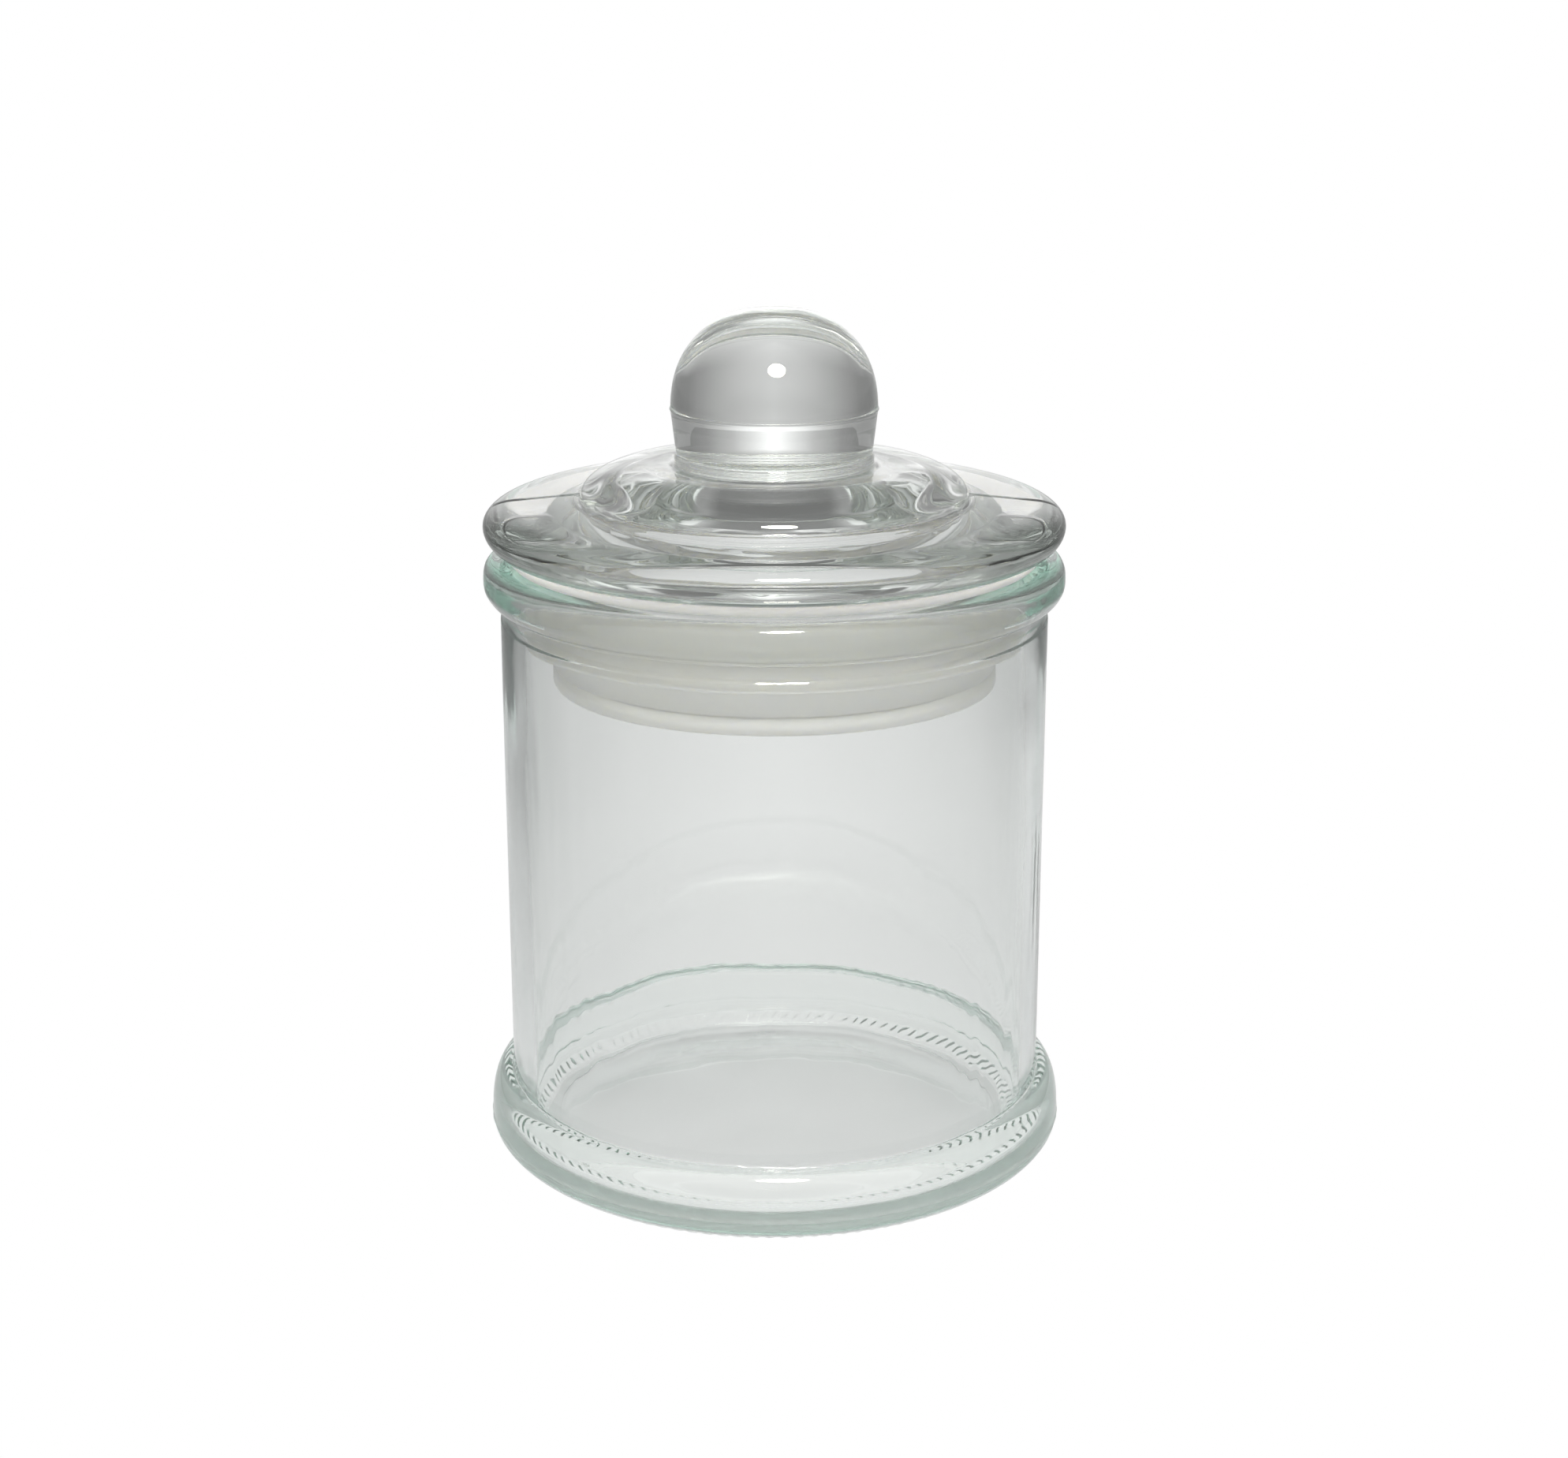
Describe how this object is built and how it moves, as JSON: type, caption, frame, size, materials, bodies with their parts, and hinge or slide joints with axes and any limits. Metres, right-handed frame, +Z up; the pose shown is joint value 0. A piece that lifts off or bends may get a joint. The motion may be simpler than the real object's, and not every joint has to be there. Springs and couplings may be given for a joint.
{
  "type": "specimen jar",
  "caption": "Straight-walled pressed-glass specimen jar on a flared foot, with a rolled bead at the rim and a ball-knob glass lid that lifts out in a soft finned seal collar.",
  "frame": {"origin": "centre of the knurled bearing ring that the jar stands on", "axes": "+Z up along the jar's axis, towards the knob; the shape is turned about Z"},
  "size_m": [0.0844, 0.0844, 0.1231],
  "materials": {
    "jar_glass": "clear pressed soda-lime glass with a faint green tint where it is thick",
    "lid_glass": "clear pressed soda-lime glass, fire-polished, with a faint grey-green tint",
    "seal_plastic": "soft translucent milky plastic, satin"
  },
  "bodies": {
    "jar": {"jar_body": "jar_glass"},
    "collar": {"seal_collar": "seal_plastic"},
    "lid": {"lid": "lid_glass"}
  },
  "joints": [
    {"name": "lid_lift", "type": "slide", "parent": "jar", "child": "collar", "axis": [0, 0, 1], "range_m": [0, 0.1]},
    {"name": "lid_turn", "type": "hinge", "parent": "collar", "child": "lid", "pos_m": [0, 0, 0.08], "axis": [0, 0, 1], "continuous": true}
  ]
}
